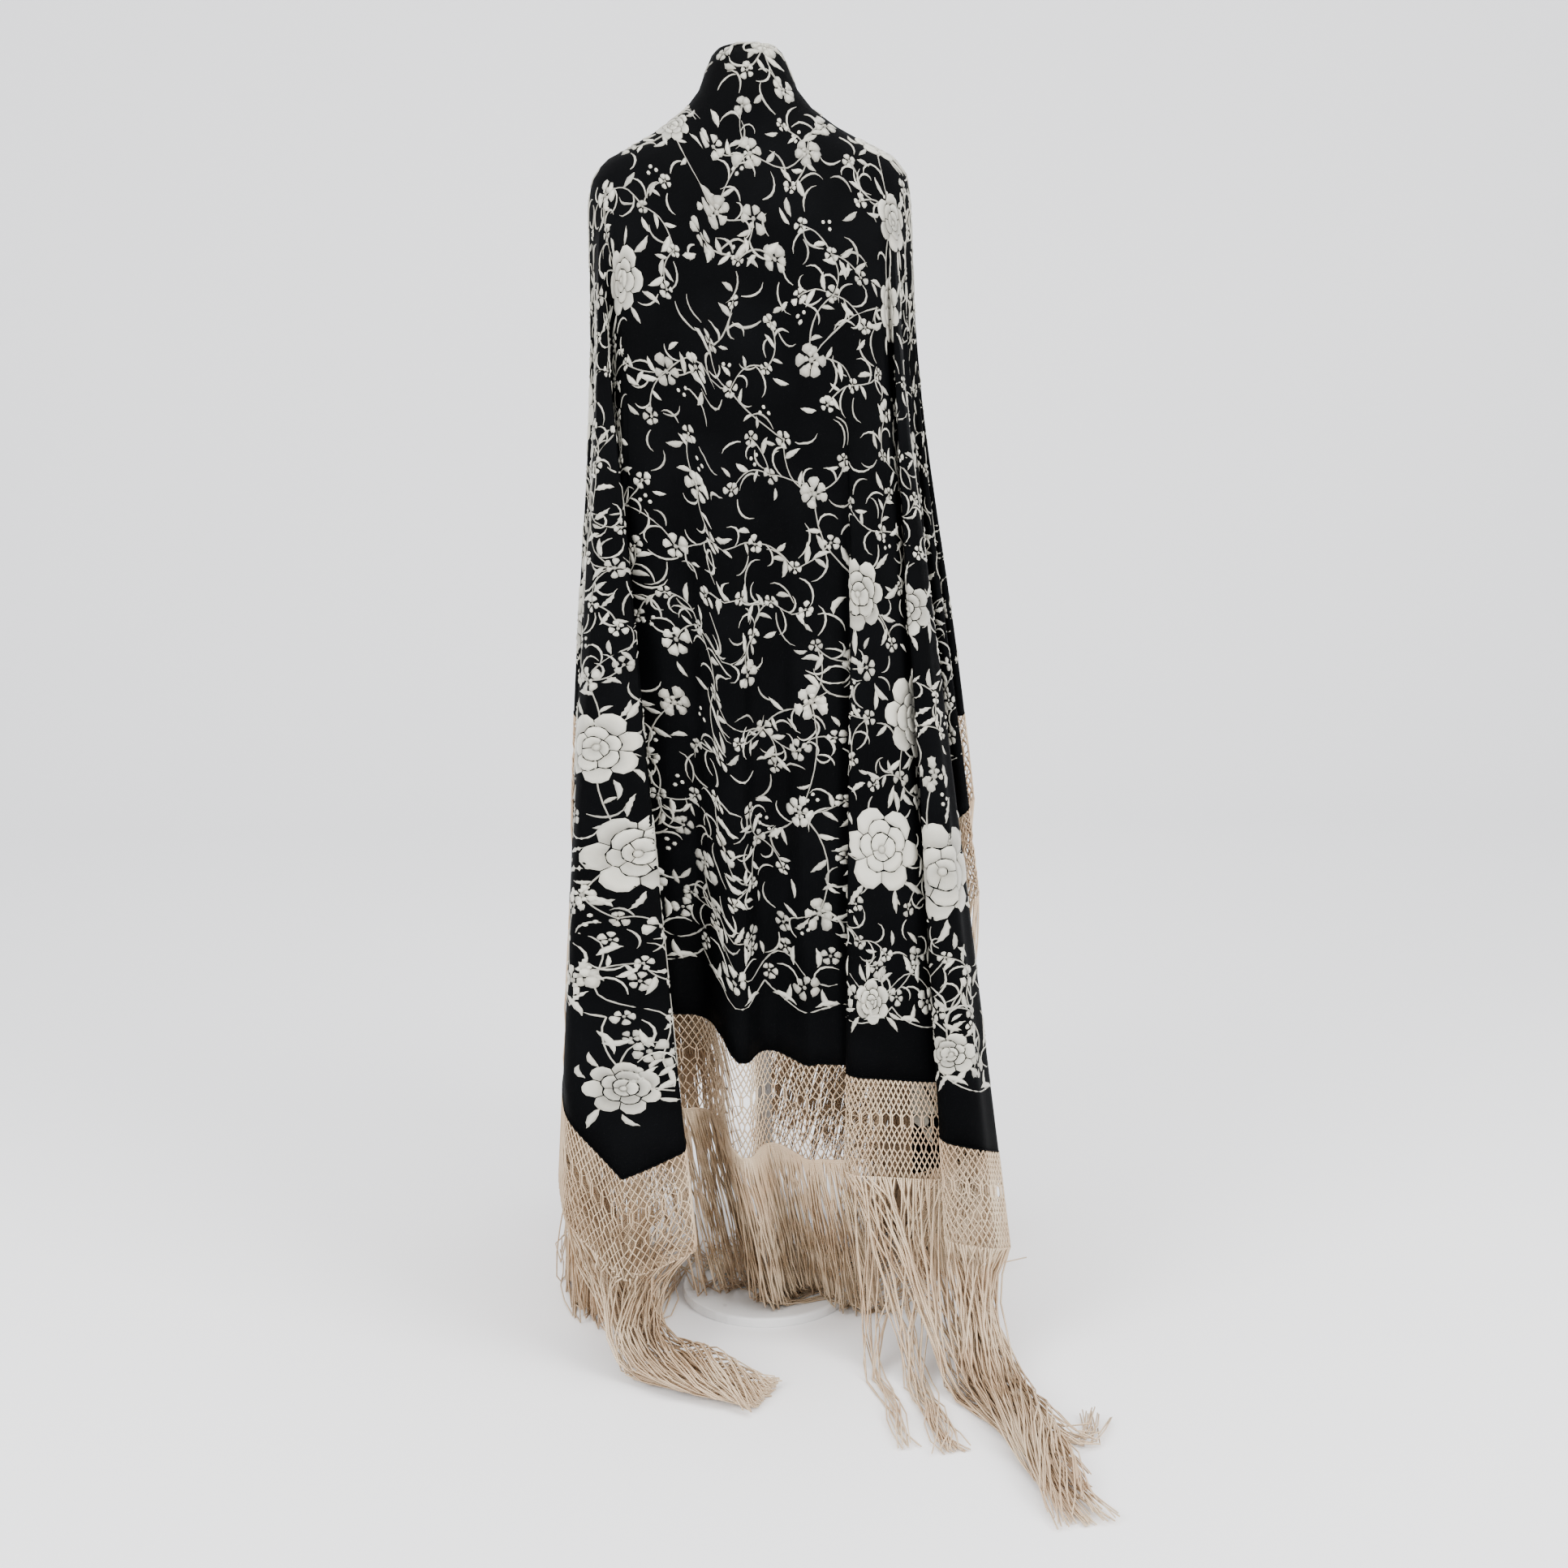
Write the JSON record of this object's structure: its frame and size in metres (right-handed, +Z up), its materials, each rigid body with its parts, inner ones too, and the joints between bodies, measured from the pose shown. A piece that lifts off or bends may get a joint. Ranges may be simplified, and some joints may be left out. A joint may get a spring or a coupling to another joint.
{
  "type": "piano shawl on dress form",
  "caption": "Square embroidered silk shawl with knotted net and long fringe, draped over a limbless dress form on a pole and round base.",
  "frame": {"origin": "centre of the round base's underside, on the floor", "axes": "+Z up, X across the shoulders, -Y towards the side where the long front of the shawl hangs"},
  "size_m": [0.64, 1.1486, 1.4943],
  "materials": {
    "crepe": "silk crepe, soft sheen",
    "net": "knotted silk net",
    "fringe": "twisted silk strands",
    "form": "matte jersey cover",
    "stand": "satin paint"
  },
  "bodies": {
    "root": {"cloth_yoke": "crepe", "cloth_front_centre": "crepe", "cloth_front_right": "crepe", "cloth_right_edge": "crepe", "cloth_right_corner": "crepe", "cloth_right_side": "crepe", "cloth_right_back": "crepe", "cloth_back": "crepe", "cloth_left_back": "crepe", "cloth_left_side": "crepe", "cloth_left_corner": "crepe", "cloth_left_edge": "crepe", "cloth_left_inner": "crepe", "net_front_centre": "net", "net_front_right": "net", "net_right_edge": "net", "net_right_corner": "net", "net_right_side": "net", "net_right_back": "net", "net_back": "net", "net_left_back": "net", "net_left_side": "net", "net_left_corner": "net", "net_left_edge": "net", "net_left_inner": "net", "fringe_front_centre": "fringe", "fringe_front_right": "fringe", "fringe_right_edge": "fringe", "fringe_right_corner": "fringe", "fringe_right_side": "fringe", "fringe_right_back": "fringe", "fringe_back": "fringe", "fringe_left_back": "fringe", "fringe_left_side": "fringe", "fringe_left_corner": "fringe", "fringe_left_edge": "fringe", "fringe_left_inner": "fringe", "form_torso": "form", "stand_pole": "stand", "stand_base": "stand"}
  },
  "joints": []
}
